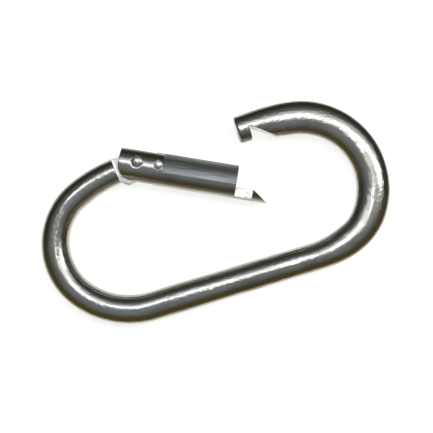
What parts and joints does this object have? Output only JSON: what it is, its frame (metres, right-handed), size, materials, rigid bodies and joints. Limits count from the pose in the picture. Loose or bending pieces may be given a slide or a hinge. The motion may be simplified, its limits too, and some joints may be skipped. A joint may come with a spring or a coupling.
{
  "type": "spring snap hook",
  "caption": "Snap hook bent from round bar, with a sprung barrel gate that swings inwards and hooks its beak into a slotted nose.",
  "frame": {"origin": "under the middle of the hook's bounding box, on the surface that the hook lies on, with the gate partly open", "axes": "+X along the straight spine towards the large bow, +Y across the hook from the spine towards the gate, +Z square to the hook's flat side"},
  "size_m": [0.1611, 0.079, 0.0151],
  "materials": {
    "hook_steel": "bent bright bar, tumbled and polished",
    "gate_steel": "turned and polished, with a linished satin band",
    "pin_steel": "peened and polished flush",
    "plunger_steel": "turned",
    "spring_steel": "drawn wire"
  },
  "bodies": {
    "hook": {"hook_body": "hook_steel"},
    "gate": {"gate": "gate_steel", "pivot_rivet": "pin_steel", "plunger_pin": "pin_steel", "spring": "spring_steel"},
    "plunger": {"plunger": "plunger_steel"}
  },
  "joints": [
    {"name": "gate_pivot", "type": "hinge", "parent": "hook", "child": "gate", "pos_m": [-0.0269, 0.031, 0.00755], "axis": [0, 0, 1], "range_deg": [-18, 29.5], "stiffness_Nm_per_rad": 0.19, "springref_deg": 85.94},
    {"name": "plunger_slide", "type": "slide", "parent": "gate", "child": "plunger", "axis": [0.898, -0.4399, 0], "range_m": [-0.00155, 0.00095], "deforming": ["spring"]}
  ],
  "couplings": [
    {"joint": "plunger_slide", "follows": "gate_pivot", "m_per_rad": -0.003}
  ]
}
